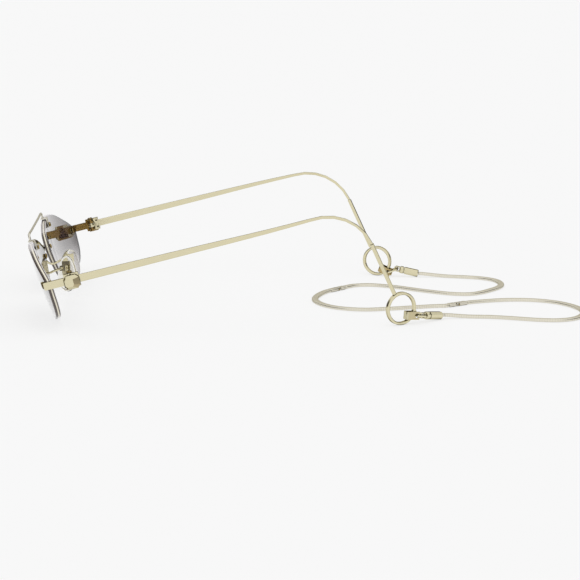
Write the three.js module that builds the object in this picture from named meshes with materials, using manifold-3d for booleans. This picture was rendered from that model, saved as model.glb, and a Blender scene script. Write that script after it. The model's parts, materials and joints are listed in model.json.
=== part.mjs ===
// Rimless sunglasses standing open, with a flat chain from one temple tip to the other.
// Millimetres, +Z up. The lenses face -Y and +X is the wearer's left. The sunglasses rest on the
// lower edges of the lenses and on the rings at the temple tips. The origin lies on that
// surface, below the middle of the sunglasses, and the chain lies behind them.
import * as THREE from "three";
import { mergeVertices } from "three/addons/utils/BufferGeometryUtils.js";
import Module from "manifold-3d";

const wasm = await Module();
wasm.setup();

// Clearances
const seatGap = 0.2; // between faces that rest on each other
const runningGap = 0.12; // round a screw, pin or stem in its hole
const overrun = 1; // how far a cutter passes the faces that it cuts

// Lenses
const lensWidth = 59.1;
const lensHeight = 32.1;
const lensThickness = 2.2;
const lensBevel = 0.35;
const lensCurveRadius = 130;
const noseGap = 17.4; // between the nasal corners of the lenses
const lensDrop = 18.8; // from the hinge height down to the lowest point of the lens
const apexAcross = 24.9; // the point of the front surface that faces straight ahead
const apexAhead = 17.2;
const apexUp = 8.9;
// From the nasal corner over the top and back below: across from that corner, up from the bottom
const lensOutlineShares = [
  [0, 0.692],
  [0.056, 0.82],
  [0.186, 0.894],
  [0.453, 1],
  [0.572, 0.975],
  [0.687, 0.925],
  [0.871, 0.768],
  [0.951, 0.673],
  [1, 0.576],
  [0.984, 0.419],
  [0.95, 0.276],
  [0.88, 0.153],
  [0.77, 0.081],
  [0.635, 0.031],
  [0.479, 0],
  [0.364, 0.028],
  [0.249, 0.168],
  [0.083, 0.511],
];
const lensOutlineSteps = 72;
const lensFaceShares = [0.25, 0.5, 0.75];

// Screws and nuts that hold a lens, in a stack along the lens normal
const lensScrewRadius = 0.5;
const lensScrewHeadRadius = 0.75;
const lensScrewHead = 0.4;
const lensHoleSlack = 0.25;
const nutRadius = 1;
const nutHeight = 0.5;
const screwTail = 0.15;
const slotWidth = 0.3;
const slotDepth = 0.2;
const lugRadius = 1.4;
const lugThickness = 0.9;

// Where each screw passes the lens, across from the nasal corner and down from its highest point
const bridgeFixingAcross = 3.1;
const bridgeFixingDown = 10.3;
const topBarFixingAcross = 20.8;
const topBarFixingDown = 3.3;
const endpieceFixingInset = 3.6; // inwards from the temporal corner, at hinge height

// Bridge and top bar
const bridgeWireRadius = 0.75;
const bridgeRise = 5.2; // of the arch above its ends
const bridgeBow = 1.3; // of the arch forwards
const bridgeArchShares = [
  [1, 0, 0],
  [0.72, 0.52, 0.45],
  [0.38, 0.9, 0.85],
  [0, 1, 1],
];
const topBarWireRadius = 0.5;
const topBarRise = 5.6; // from its screws up to the bar
const topBarSetback = 0.9; // behind the front of the lens
const topBarBend = 1.4;
const hookWidth = 2.3;
const hookWall = 0.5;
const hookTop = 3.3; // of the hooks over the lens edge, above their screws

// Endpieces and the bars of the temples
const barHeight = 3;
const barThickness = 1.3;
const barRound = 0.35;
const endpieceLead = 0.05; // of the bar ahead of its lug on the lens
const endpieceLugHeight = 2.6;

// Hinges
const hingeInset = 1.9; // of the screw from the middle of the bar
const hingeHeight = 5.4;
const knuckleRadius = 1.2;
const middleKnuckle = 1.7;
const hingeScrewRadius = 0.6;
const hingeScrewHeadRadius = 1;
const hingeScrewHead = 0.5;
const leafReach = 1.5; // of the leaves on either side of the screw
const plateGap = 0.6; // from the screw axis to the plates on either side
const endPlateLength = 1.8;
const headHeight = 5.4;
const headLength = 2.8;
const headRecessRadius = 0.45;
const headRecessDepth = 0.5;
const headRecessSpacing = 2.9;

// Hinge covers: a block with a flat face and sloping facets on the outside of each hinge
const coverLength = 6.1;
const coverHeight = 5.4;
const coverSetback = 0.4; // of its middle behind the hinge screw
const coverDrop = 0.6; // of its middle below the bar
const coverThickness = 2.2;
const coverWall = 0.7;
const coverCorner = 1.2;
const coverBackFacet = 2.4;
const coverFrontFacet = 0.4;
const coverTopFacet = 0.9;
const coverBottomFacet = 1.2;

// Temples, measured along the bar from the hinge screw
const templeStraight = 97.2;
const templeBendRadius = 20;
const templeBend = THREE.MathUtils.degToRad(79);
const tipLength = 23;
const wireHeight = 1.1;
const wireThickness = 1.05;
const taperPower = 1.4;
const insetStart = 69.7;
const insetRunLength = 31; // over which the temple turns inwards
const insetSlope = 0.21;
const templeSections = 26;

// Tip sleeves and rings
const sleeveHeight = 1.6;
const sleeveThickness = 1.4;
const tenonSize = 0.7;
const tenonLength = 4;
const ringOuterRadius = 6.7;
const ringWall = 1.15;
const ringWidth = 1.8;
const ringChamfer = 0.25;
const ringTurn = THREE.MathUtils.degToRad(25);
const ringSides = 40;

// Nose pads and their arms
const padLength = 15;
const padWidth = 8.6;
const padThickness = 2.4;
const padInsetFromNose = 8.4;
const padSetback = 9.6; // of the pad's middle behind the front of the lenses
const padDrop = 6.9;
const padLean = THREE.MathUtils.degToRad(8);
const padFlare = THREE.MathUtils.degToRad(12);
const padSplay = THREE.MathUtils.degToRad(20);
const padOutlineSteps = 20;
const padRoundShares = [
  [-1, 0.72],
  [-0.6, 0.94],
  [0, 1],
  [0.6, 0.94],
  [1, 0.78],
];
const insertLength = 5.6;
const insertWidth = 3.6;
const insertThickness = 0.6;
const insertRise = 2.4;
const stemWidth = 1.4;
const stemHeight = 1.8;
const stemReach = 2.5; // of the stem out of the pad
const padScrewRadius = 0.4;
const padScrewHeadRadius = 0.75;
const padScrewHead = 0.4;
const boxWall = 0.5;
const boxHeight = 2.2;
const boxBaseGap = 0.3;
const armWireRadius = 0.45;

// Chain clips, links and end caps
const clipWidth = 3.2;
const clipWall = 0.45;
const clipMouth = 2.2;
const clipCorner = 0.3; // inside the fold
const clipFoldStart = 2.2; // from the middle of the ring
const clipHoleAlong = 6.85;
const clipEdge = 1.35;
const clipTilts = {
  left: THREE.MathUtils.degToRad(5),
  right: THREE.MathUtils.degToRad(20),
};
const clipOffsets = { left: 2.8, right: 2.4 }; // below the middle of the ring
const linkWire = 0.7;
const linkLength = 4.2;
const linkHoleSlack = 0.62;
const linkPlay = 0.45; // on either side of the clip
const capLength = 8.3;
const capWidth = 3.4;
const capHeight = 3;
const capRound = 0.9;
const capGrooveStart = 1.5;
const capGrooveWidth = 0.5;
const capGrooveDepth = 0.25;
const tangLength = 2.7;
const tangThickness = 1.2;
const tangHeight = 2.4;
const tangEyeInset = 1.4;
const eyeHeights = { left: 2.7, right: 3.5 };
const floorGap = 0.1;
const capYaws = {
  left: THREE.MathUtils.degToRad(34),
  right: THREE.MathUtils.degToRad(10),
};

// Chain and its two pinned connectors
const chainWidth = 2.7;
const chainThickness = 1.3;
const chainChamfer = 0.3;
const chainStep = 6.6;
const connectorLength = 10;
const connectorWidth = 2.8;
const connectorHeight = 1.4;
const connectorRound = 0.4;
const connectorPinRadius = 0.35;
const connectorTongue = 0.9;
const connectorOverlap = 0.9; // of the tongue and the fork past the pin
const connectorThroat = 1.5; // from the pin to the solid part of a cap

// Places on the surface behind the sunglasses
const connectorPlaces = {
  right: [new THREE.Vector3(-17.4, 51.4, 0), THREE.MathUtils.degToRad(-133.2)],
  left: [new THREE.Vector3(16.6, 99.6, 0), THREE.MathUtils.degToRad(32.4)],
};
const rightChainRoute = [
  [-47.4, 102.2],
  [-44.6, 111.8],
  [-42.0, 118.0],
  [-36.5, 123.3],
  [-27.7, 124.8],
  [-19.8, 122.4],
  [-13.7, 118.0],
  [-8.2, 113.0],
  [-5.0, 107.6],
  [-6.1, 99.9],
  [-13.9, 87.6],
  [-22.6, 76.2],
  [-26.7, 66.2],
  [-25.4, 59.2],
];
const middleChainRoute = [
  [-5.6, 43.1],
  [4.1, 40.6],
  [10.5, 41.1],
  [17.6, 43.9],
  [23.7, 49.6],
  [27.1, 59.0],
  [25.6, 69.8],
  [22.6, 81.1],
  [20.4, 89.9],
];
const leftChainRoute = [
  [10.5, 111.4],
  [8.3, 119.4],
  [7.8, 127.1],
  [9.6, 135.2],
  [14.1, 142.2],
  [21.0, 147.0],
  [28.8, 149.5],
  [35.6, 149.3],
  [42.5, 146.8],
  [47.8, 142.2],
  [50.1, 135.8],
  [49.1, 128.1],
  [45.8, 119.0],
  [43.0, 110.0],
  [42.0, 101.3],
];

// Derived places of the frame
const lensInner = noseGap / 2;
const lensOuter = lensInner + lensWidth;
const lensTop = lensHeight - lensDrop;
const barInner = lensOuter + seatGap;
const barCentre = barInner + barThickness / 2;
const barOuter = barInner + barThickness;
const hingeAcross = barCentre - hingeInset;
const bendEnd = templeStraight + templeBendRadius * templeBend;
const tipEnd = bendEnd + tipLength;

// Materials
const metal = (color, roughness) =>
  new THREE.MeshStandardMaterial({ color, roughness, metalness: 1 });
const gold = metal("#d8cfa4", 0.2);
const chainGold = metal("#cfc9ae", 0.28);
const screwMetal = metal("#c9bc8a", 0.3);
const lensTint = new THREE.MeshStandardMaterial({
  color: "#a8a2a6",
  roughness: 0.05,
  transparent: true,
  opacity: 0.55,
});
const padClear = new THREE.MeshStandardMaterial({
  color: "#e9e8e4",
  roughness: 0.25,
  transparent: true,
  opacity: 0.6,
});

// Solids from closed geometries, and back
function solidOf(geometry) {
  const bare = geometry.index ? geometry.toNonIndexed() : geometry.clone();
  bare.deleteAttribute("normal");
  bare.deleteAttribute("uv");
  const merged = mergeVertices(bare, 1e-4);
  return new wasm.Manifold(
    new wasm.Mesh({
      numProp: 3,
      vertProperties: merged.attributes.position.array,
      triVerts: new Uint32Array(merged.index.array),
    }),
  );
}

function geometryOf(solid) {
  const { vertProperties, triVerts } = solid.getMesh();
  const geometry = new THREE.BufferGeometry();
  geometry.setAttribute("position", new THREE.BufferAttribute(vertProperties, 3));
  geometry.setIndex(new THREE.BufferAttribute(triVerts, 1));
  geometry.computeVertexNormals();
  return geometry;
}

function join(...geometries) {
  const solids = geometries.map(solidOf);
  return geometryOf(solids.reduce((whole, solid) => whole.add(solid)));
}

function cut(geometry, ...cutters) {
  const solids = cutters.map(solidOf);
  return geometryOf(solids.reduce((whole, solid) => whole.subtract(solid), solidOf(geometry)));
}

// A closed surface through sections of as many points each, capped flat at both ends
function loft(sections) {
  const count = sections[0].length;
  const last = (sections.length - 1) * count;
  const faces = [];
  for (let start = 0; start < last; start += count) {
    for (let k = 0; k < count; k += 1) {
      const a = start + k;
      const b = start + ((k + 1) % count);
      faces.push([a, b, b + count], [a, b + count, a + count]);
    }
  }
  for (let k = 1; k + 1 < count; k += 1) {
    faces.push([0, k + 1, k], [last, last + k, last + k + 1]);
  }
  const points = sections.flat();
  const volume = faces.reduce(
    (sum, [a, b, c]) => sum + points[a].dot(points[b].clone().cross(points[c])),
    0,
  );
  const outward = volume > 0 ? faces : faces.map(([a, b, c]) => [a, c, b]);
  const geometry = new THREE.BufferGeometry().setFromPoints(points);
  geometry.setIndex(outward.flat());
  geometry.computeVertexNormals();
  return geometry;
}

// The outline of a rectangle with its corners cut, as eight points round the middle
function chamferedOutline(width, height, chamfer) {
  const x = width / 2;
  const y = height / 2;
  return [
    [x, -y + chamfer],
    [x, y - chamfer],
    [x - chamfer, y],
    [-x + chamfer, y],
    [-x, y - chamfer],
    [-x, -y + chamfer],
    [-x + chamfer, -y],
    [x - chamfer, -y],
  ].map(([a, b]) => new THREE.Vector2(a, b));
}

// A block between two corners, given as [from, to] along each axis
function block([x0, x1], [y0, y1], [z0, z1]) {
  const geometry = new THREE.BoxGeometry(x1 - x0, y1 - y0, z1 - z0);
  return geometry.translate((x0 + x1) / 2, (y0 + y1) / 2, (z0 + z1) / 2);
}

// A rod along Z between two heights
function rod(radius, from, to, sides = 14) {
  const geometry = new THREE.CylinderGeometry(radius, radius, to - from, sides);
  return geometry.rotateX(Math.PI / 2).translate(0, 0, (from + to) / 2);
}

// A round wire through points, which it follows as a smooth curve
function wire(points, radius, steps, sides = 8) {
  const section = new THREE.Shape();
  for (let k = 0; k < sides; k += 1) {
    const angle = (2 * Math.PI * (k + 0.5)) / sides;
    const x = radius * Math.cos(angle);
    const y = radius * Math.sin(angle);
    if (k === 0) section.moveTo(x, y);
    else section.lineTo(x, y);
  }
  section.closePath();
  const extrudePath = new THREE.CatmullRomCurve3(points, false, "centripetal");
  return new THREE.ExtrudeGeometry(section, { steps, extrudePath, bevelEnabled: false });
}

function placed(geometry, matrix) {
  return geometry.clone().applyMatrix4(matrix);
}

function shifted(geometry, x, y, z) {
  return geometry.clone().translate(x, y, z);
}

function piece(parent, name, geometry, material) {
  const mesh = new THREE.Mesh(geometry, material);
  mesh.name = name;
  parent.add(mesh);
  return mesh;
}

// Lens surface: a sphere, with its apex where the lens faces straight ahead
function lensFront(x, z) {
  const across = x - apexAcross;
  const up = z - apexUp;
  const depth = Math.sqrt(lensCurveRadius ** 2 - across ** 2 - up ** 2);
  return new THREE.Vector3(x, lensCurveRadius - apexAhead - depth, z);
}

function lensNormal(point) {
  const centre = new THREE.Vector3(apexAcross, lensCurveRadius - apexAhead, apexUp);
  return point.clone().sub(centre).normalize();
}

function lensOutline() {
  const corners = lensOutlineShares.map(
    ([across, up]) =>
      new THREE.Vector3(lensInner + across * lensWidth, 0, up * lensHeight - lensDrop),
  );
  const curve = new THREE.CatmullRomCurve3(corners, true, "centripetal");
  return curve.getPoints(lensOutlineSteps).slice(0, -1);
}

function lensGeometry() {
  const outline = lensOutline();
  const middle = new THREE.Vector3(lensInner + lensWidth / 2, 0, lensTop - lensHeight / 2);
  const ring = (share, depth) =>
    outline.map((corner) => {
      const flat = middle.clone().lerp(corner, share);
      const front = lensFront(flat.x, flat.z);
      return front.addScaledVector(lensNormal(front), -depth);
    });
  const bevelShare = 1 - lensBevel / (lensHeight / 2);
  const sections = [
    ...lensFaceShares.map((share) => ring(share, 0)),
    ring(bevelShare, 0),
    ring(1, lensBevel),
    ring(1, lensThickness - lensBevel),
    ring(bevelShare, lensThickness),
    ...lensFaceShares.toReversed().map((share) => ring(share, lensThickness)),
  ];
  return loft(sections);
}

// The frame of a lens screw: its origin on the front surface, +Z out of it
function fixingFrame(x, z) {
  const origin = lensFront(x, z);
  const forward = lensNormal(origin);
  const across = new THREE.Vector3(0, 0, 1).cross(forward).normalize();
  const up = forward.clone().cross(across);
  return new THREE.Matrix4().makeBasis(across, up, forward).setPosition(origin);
}

const bridgeFixing = fixingFrame(lensInner + bridgeFixingAcross, lensTop - bridgeFixingDown);
const topBarFixing = fixingFrame(lensInner + topBarFixingAcross, lensTop - topBarFixingDown);
const endpieceFixing = fixingFrame(lensOuter - endpieceFixingInset, 0);
const fixings = { bridge: bridgeFixing, top_bar: topBarFixing, endpiece: endpieceFixing };
const lugBack = seatGap;
const lugFront = lugBack + lugThickness;
const lugMiddle = (lugBack + lugFront) / 2;
const endpieceReach = lugFront + endpieceLead - lensFront(lensOuter, 0).y;

function slottedHead(radius, from, to) {
  const slot = block(
    [-radius - overrun, radius + overrun],
    [-slotWidth / 2, slotWidth / 2],
    [to - slotDepth, to + overrun],
  );
  return cut(rod(radius, from, to), slot);
}

// Screw and nut of a lens, with a given space between the lens and the nut. The head of a screw
// that holds a lug is sunk into it
const lensHeadStart = lugFront - lensScrewHead;

function lensScrewGeometry(space, headStart) {
  const tail = lensThickness + space + nutHeight + screwTail;
  const shaft = rod(lensScrewRadius, -tail, headStart + slotDepth / 2);
  return join(shaft, slottedHead(lensScrewHeadRadius, headStart, headStart + lensScrewHead));
}

function lensNutGeometry(space) {
  const start = -lensThickness - space;
  const hole = rod(
    lensScrewRadius + runningGap,
    start - nutHeight - overrun,
    start + overrun,
  );
  return cut(rod(nutRadius, start - nutHeight, start), hole);
}

function lugHole(frame) {
  const hole = rod(lensScrewRadius + runningGap, lugBack - overrun, lugFront + overrun);
  const sink = rod(
    lensScrewHeadRadius + runningGap,
    lensHeadStart - seatGap,
    lugFront + overrun,
  );
  return placed(join(hole, sink), frame);
}

function lugDisc(frame) {
  return placed(rod(lugRadius, lugBack, lugFront, 18), frame);
}

// The mirror image across the middle of the sunglasses, with its triangles turned to face out
function mirrored(geometry) {
  const copy = geometry.index ? geometry.toNonIndexed() : geometry.clone();
  copy.scale(-1, 1, 1);
  const { position } = copy.attributes;
  const corner = (k) => new THREE.Vector3().fromBufferAttribute(position, k);
  for (let k = 0; k < position.count; k += 3) {
    const [first, second] = [corner(k), corner(k + 1)];
    position.setXYZ(k, ...second.toArray());
    position.setXYZ(k + 1, ...first.toArray());
  }
  return copy;
}

// Bridge: an arch of wire between two lugs on the lens fronts
function bridgeGeometry() {
  const end = new THREE.Vector3(-lugRadius * 0.9, 0, seatGap + bridgeWireRadius).applyMatrix4(
    bridgeFixing,
  );
  const half = bridgeArchShares.map(
    ([across, rise, bow]) =>
      new THREE.Vector3(across * end.x, end.y - bow * bridgeBow, end.z + rise * bridgeRise),
  );
  const other = half.slice(0, -1).map((point) => point.clone().setX(-point.x));
  const arch = wire([...half, ...other.toReversed()], bridgeWireRadius, 20);
  const lug = lugDisc(bridgeFixing);
  const hole = lugHole(bridgeFixing);
  return cut(join(arch, lug, mirrored(lug)), hole, mirrored(hole));
}

// Top bar: a straight wire above the bridge, bent down to a hook over the edge of each lens
function topBarGeometry() {
  const foot = new THREE.Vector3(0, 0, -topBarSetback).applyMatrix4(topBarFixing);
  const leg = (height, inwards) =>
    new THREE.Vector3(foot.x - inwards, foot.y, foot.z + height);
  const half = [
    leg(hookTop - hookWall / 2, 0),
    leg(topBarRise - topBarBend, 0),
    leg(topBarRise - topBarBend / 4, topBarBend / 4),
    leg(topBarRise, topBarBend),
    leg(topBarRise, foot.x / 2),
  ];
  const other = half.map((point) => point.clone().setX(-point.x)).toReversed();
  const bar = wire([...half, ...other], topBarWireRadius, 60);
  const across = [-hookWidth / 2, hookWidth / 2];
  const inside = -lensThickness - seatGap;
  const plate = block(across, [-hookWidth / 2, hookTop], [inside - hookWall, inside]);
  const ledge = block(across, [hookTop - hookWall, hookTop], [inside, 0]);
  const hole = rod(
    lensScrewRadius + runningGap,
    inside - hookWall - overrun,
    inside + overrun,
  );
  const hook = placed(cut(join(plate, ledge), hole), topBarFixing);
  return join(bar, hook, mirrored(hook));
}

// Hinge: two knuckles on the endpiece, one on the temple, round one screw
const knuckleTop = hingeHeight / 2;
const outerKnuckleStart = middleKnuckle / 2 + runningGap;

function knuckle(from, to, leafSide) {
  const barrel = shifted(rod(knuckleRadius, from, to, 20), hingeAcross, 0, 0);
  const leafEnds = [0, leafSide * leafReach].sort((a, b) => a - b);
  const leaf = block([hingeAcross, barCentre], leafEnds, [from, to]);
  return join(barrel, leaf);
}

function hingeBore() {
  const reach = hingeHeight / 2 + overrun;
  return shifted(rod(hingeScrewRadius + runningGap, -reach, reach, 20), hingeAcross, 0, 0);
}

function endpieceGeometry() {
  const bar = loft(
    [barInner, barOuter].map((x) =>
      chamferedOutline(endpieceReach - plateGap, barHeight, barRound).map(
        (corner) =>
          new THREE.Vector3(x, corner.x - (endpieceReach + plateGap) / 2, corner.y),
      ),
    ),
  );
  const endPlate = block(
    [barInner, barOuter],
    [-plateGap - endPlateLength, -plateGap],
    [-knuckleTop, knuckleTop],
  );
  const lugReach = endpieceFixingInset + seatGap + barThickness / 2;
  const lugPlate = block(
    [0, lugReach],
    [-endpieceLugHeight / 2, endpieceLugHeight / 2],
    [lugBack, lugFront],
  );
  return cut(
    join(
      bar,
      endPlate,
      placed(lugPlate, endpieceFixing),
      lugDisc(endpieceFixing),
      knuckle(outerKnuckleStart, knuckleTop, -1),
      knuckle(-knuckleTop, -outerKnuckleStart, -1),
    ),
    lugHole(endpieceFixing),
    hingeBore(),
  );
}

function hingeScrewGeometry() {
  const headStart = knuckleTop + seatGap;
  const shaft = rod(hingeScrewRadius, -knuckleTop, headStart + slotDepth / 2);
  const head = slottedHead(hingeScrewHeadRadius, headStart, headStart + hingeScrewHead);
  return shifted(join(shaft, head), hingeAcross, 0, 0);
}

// Hinge cover: an eight-sided base with a smaller flat face, joined by sloping facets
function coverGeometry() {
  const x = barOuter + seatGap;
  const base = chamferedOutline(coverLength, coverHeight, coverCorner);
  const section = (at, outline) =>
    outline.map((corner) => new THREE.Vector3(at, corner.x, corner.y));
  const faceLength = coverLength - coverFrontFacet - coverBackFacet;
  const faceHeight = coverHeight - coverTopFacet - coverBottomFacet;
  const face = chamferedOutline(faceLength, faceHeight, coverCorner / 2).map((corner) =>
    corner.add(
      new THREE.Vector2(
        (coverFrontFacet - coverBackFacet) / 2,
        (coverBottomFacet - coverTopFacet) / 2,
      ),
    ),
  );
  const cover = loft([
    section(x, base),
    section(x + coverWall, base),
    section(x + coverThickness, face),
  ]);
  return shifted(cover, 0, coverSetback, -coverDrop);
}

// Temple centreline at a distance along the bar, and the frame of its section there
function templePoint(distance) {
  const bent = Math.max(0, distance - templeStraight);
  const angle = Math.min(bent / templeBendRadius, templeBend);
  const beyond = Math.max(0, bent - templeBendRadius * templeBend);
  const run = THREE.MathUtils.clamp(distance - insetStart, 0, insetRunLength);
  const past = Math.max(0, distance - insetStart - insetRunLength);
  const inset = insetSlope * (run ** 2 / (2 * insetRunLength) + past);
  const back =
    Math.min(distance, templeStraight) +
    templeBendRadius * Math.sin(angle) +
    beyond * Math.cos(angle);
  const down = templeBendRadius * (1 - Math.cos(angle)) + beyond * Math.sin(angle);
  return new THREE.Vector3(barCentre - inset, back, -down);
}

function templeTangent(distance) {
  const ahead = templePoint(distance + overrun / 100);
  return ahead.sub(templePoint(distance - overrun / 100)).normalize();
}

function templeSection(distance, thickness, height, chamfer) {
  const centre = templePoint(distance);
  const along = templeTangent(distance);
  const up = new THREE.Vector3(1, 0, 0).cross(along).normalize();
  const side = along.clone().cross(up);
  return chamferedOutline(thickness, height, chamfer).map((corner) =>
    centre.clone().addScaledVector(side, corner.x).addScaledVector(up, corner.y),
  );
}

function spread(from, to, count) {
  return Array.from({ length: count }, (_, k) => from + ((to - from) * k) / (count - 1));
}

const headEnd = plateGap + headLength;
const shoulder = bendEnd - seatGap;

function templeGeometry() {
  const bar = loft(
    spread(headEnd - headLength / 2, shoulder, templeSections).map((distance) => {
      const share = THREE.MathUtils.clamp(distance / templeStraight, 0, 1);
      const height = barHeight - (barHeight - wireHeight) * share ** taperPower;
      const thickness = barThickness - (barThickness - wireThickness) * share;
      return templeSection(distance, thickness, height, barRound * (1 - share / 2));
    }),
  );
  const tenon = loft(
    [shoulder - tenonSize, bendEnd + tenonLength].map((distance) =>
      templeSection(distance, tenonSize, tenonSize, tenonSize / 8),
    ),
  );
  const head = block(
    [barInner, barOuter],
    [plateGap, headEnd],
    [-headHeight / 2, headHeight / 2],
  );
  const recess = (z) => {
    const pocket = rod(headRecessRadius, -headRecessDepth, headRecessDepth, 12).rotateY(Math.PI / 2);
    return shifted(pocket, barInner, headEnd - 2 * headRecessRadius, z);
  };
  return cut(
    join(bar, tenon, head, knuckle(-middleKnuckle / 2, middleKnuckle / 2, 1)),
    recess(headRecessSpacing / 2),
    recess(-headRecessSpacing / 2),
    hingeBore(),
  );
}

function sleeveGeometry() {
  const body = loft(
    [bendEnd, tipEnd].map((distance) =>
      templeSection(distance, sleeveThickness, sleeveHeight, barRound),
    ),
  );
  const socketSize = tenonSize + 2 * runningGap;
  const socket = loft(
    [bendEnd - overrun / 2, bendEnd + tenonLength + runningGap].map((distance) =>
      templeSection(distance, socketSize, socketSize, socketSize / 8),
    ),
  );
  return cut(body, socket);
}

// Tip ring: its plane holds the line of the tip and turns inwards behind it
const tipDirection = templeTangent(tipEnd - tipLength / 2);
const ringAxis = new THREE.Vector3(-Math.sin(ringTurn), Math.cos(ringTurn), 0)
  .cross(tipDirection)
  .negate()
  .normalize();
const ringCentre = templePoint(tipEnd).addScaledVector(tipDirection, ringOuterRadius + seatGap);

function ringGeometry() {
  const inner = ringOuterRadius - ringWall;
  const profile = chamferedOutline(ringWall, ringWidth, ringChamfer).map((corner) =>
    corner.add(new THREE.Vector2(inner + ringWall / 2, 0)),
  );
  const ring = new THREE.LatheGeometry([...profile, profile[0].clone()], ringSides);
  const turn = new THREE.Quaternion().setFromUnitVectors(new THREE.Vector3(0, 1, 0), ringAxis);
  return ring.applyQuaternion(turn).translate(...ringCentre.toArray());
}

// Nose pad frame: +X away from the nose, +Y back, +Z up along the pad
const padFrame = new THREE.Matrix4()
  .makeRotationZ(-padSplay)
  .multiply(new THREE.Matrix4().makeRotationY(-padFlare))
  .multiply(new THREE.Matrix4().makeRotationX(-padLean))
  .setPosition(padInsetFromNose, padSetback - apexAhead, -padDrop);
const padOuter = padThickness / 2;
const stemEnd = padOuter + stemReach;
const padPinAcross = stemEnd - stemHeight / 2;
const cheekStart = stemWidth / 2 + runningGap;

function padOutlinePoint(step) {
  const angle = (2 * Math.PI * step) / padOutlineSteps;
  const narrowing = 1 - 0.14 * Math.sin(angle);
  return new THREE.Vector2(
    (padWidth / 2) * Math.cos(angle) * narrowing,
    (padLength / 2) * Math.sin(angle),
  );
}

function padGeometry() {
  const steps = Array.from({ length: padOutlineSteps }, (_, k) => k);
  const body = loft(
    padRoundShares.map(([depth, share]) =>
      steps.map((step) => {
        const point = padOutlinePoint(step).multiplyScalar(share);
        return new THREE.Vector3(depth * padOuter, point.x, point.y);
      }),
    ),
  );
  const pocket = block(
    [padOuter - insertThickness - seatGap, padOuter + overrun],
    [-insertWidth / 2 - seatGap, insertWidth / 2 + seatGap],
    [insertRise - insertLength / 2 - seatGap, insertRise + insertLength / 2 + seatGap],
  );
  return placed(cut(body, pocket), padFrame);
}

function insertGeometry() {
  const plate = block(
    [padOuter - insertThickness, padOuter],
    [-insertWidth / 2, insertWidth / 2],
    [insertRise - insertLength / 2, insertRise + insertLength / 2],
  );
  const stem = block(
    [padOuter - insertThickness / 2, stemEnd],
    [-stemWidth / 2, stemWidth / 2],
    [insertRise - stemHeight / 2, insertRise + stemHeight / 2],
  );
  const bore = rod(padScrewRadius + runningGap, -stemWidth, stemWidth).rotateX(Math.PI / 2);
  return placed(cut(join(plate, stem), shifted(bore, padPinAcross, 0, insertRise)), padFrame);
}

function padScrewGeometry() {
  const cheekEnd = cheekStart + boxWall;
  const headStart = cheekEnd + seatGap;
  const shaft = rod(padScrewRadius, -cheekEnd, headStart + slotDepth / 2);
  const head = slottedHead(padScrewHeadRadius, headStart, headStart + padScrewHead);
  const screw = join(shaft, head).rotateX(Math.PI / 2);
  return placed(shifted(screw, padPinAcross, 0, insertRise), padFrame);
}

// Pad arm: a box with two cheeks round the stem, on a wire from the bridge
function padArmGeometry() {
  const cheekEnd = cheekStart + boxWall;
  const baseStart = stemEnd + boxBaseGap;
  const boxHeights = [insertRise - boxHeight / 2, insertRise + boxHeight / 2];
  const cheekDepths = [padPinAcross - boxHeight / 2, baseStart + boxWall];
  const cheeks = [
    block(cheekDepths, [cheekStart, cheekEnd], boxHeights),
    block(cheekDepths, [-cheekEnd, -cheekStart], boxHeights),
  ];
  const base = block([baseStart, baseStart + boxWall], [-cheekEnd, cheekEnd], boxHeights);
  const bore = rod(padScrewRadius + runningGap, -2 * cheekEnd, 2 * cheekEnd).rotateX(Math.PI / 2);
  const box = cut(join(base, ...cheeks), shifted(bore, padPinAcross, 0, insertRise));
  const boxMiddle = new THREE.Vector3(baseStart + boxWall / 2, 0, insertRise);
  const wireEnd = boxMiddle.clone().applyMatrix4(padFrame);
  const wireOut = boxMiddle.clone().add(new THREE.Vector3(boxHeight / 2, 0, 0));
  const lug = new THREE.Vector3(0, 0, lugMiddle).applyMatrix4(bridgeFixing);
  const root = new THREE.Vector3(
    lug.x - lugRadius - armWireRadius,
    lug.y,
    lug.z - bridgeWireRadius - seatGap,
  );
  const gooseneck = [
    root,
    root.clone().add(new THREE.Vector3(-armWireRadius, 0, -padWidth / 3)),
    root.clone().add(new THREE.Vector3(0, armWireRadius, -padWidth * 0.6)),
    root.clone().add(new THREE.Vector3(armWireRadius * 2, padThickness, -padWidth * 0.75)),
    wireEnd.clone().lerp(root, 0.5).setZ(root.z - padWidth * 0.72),
    wireOut.applyMatrix4(padFrame),
    wireEnd,
  ];
  return join(wire(gooseneck, armWireRadius, 26), placed(box, padFrame));
}

// One side of the sunglasses, modelled for the wearer's left
function addSide(parent, side) {
  const holes = Object.values(fixings).map((frame) =>
    placed(
      rod(lensScrewRadius + lensHoleSlack, -lensThickness - overrun, overrun),
      frame,
    ),
  );
  const lens = piece(parent, `${side}_lens`, cut(lensGeometry(), ...holes), lensTint);
  for (const [name, frame] of Object.entries(fixings)) {
    const [space, headStart] =
      name === "top_bar" ? [2 * seatGap + hookWall, seatGap] : [seatGap, lensHeadStart];
    const screw = lensScrewGeometry(space, headStart);
    piece(parent, `${side}_${name}_screw`, placed(screw, frame), screwMetal);
    piece(parent, `${side}_${name}_nut`, placed(lensNutGeometry(space), frame), screwMetal);
  }
  piece(parent, `${side}_endpiece`, endpieceGeometry(), gold);
  piece(parent, `${side}_hinge_cover`, coverGeometry(), gold);
  piece(parent, `${side}_hinge_screw`, hingeScrewGeometry(), screwMetal);
  piece(parent, `${side}_temple`, templeGeometry(), gold);
  piece(parent, `${side}_tip_sleeve`, sleeveGeometry(), gold);
  const ring = piece(parent, `${side}_tip_ring`, ringGeometry(), gold);
  piece(parent, `${side}_pad_arm`, padArmGeometry(), gold);
  piece(parent, `${side}_pad_screw`, padScrewGeometry(), screwMetal);
  piece(parent, `${side}_nose_pad`, padGeometry(), padClear);
  piece(parent, `${side}_pad_insert`, insertGeometry(), gold);
  return { lens, ring };
}

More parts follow.
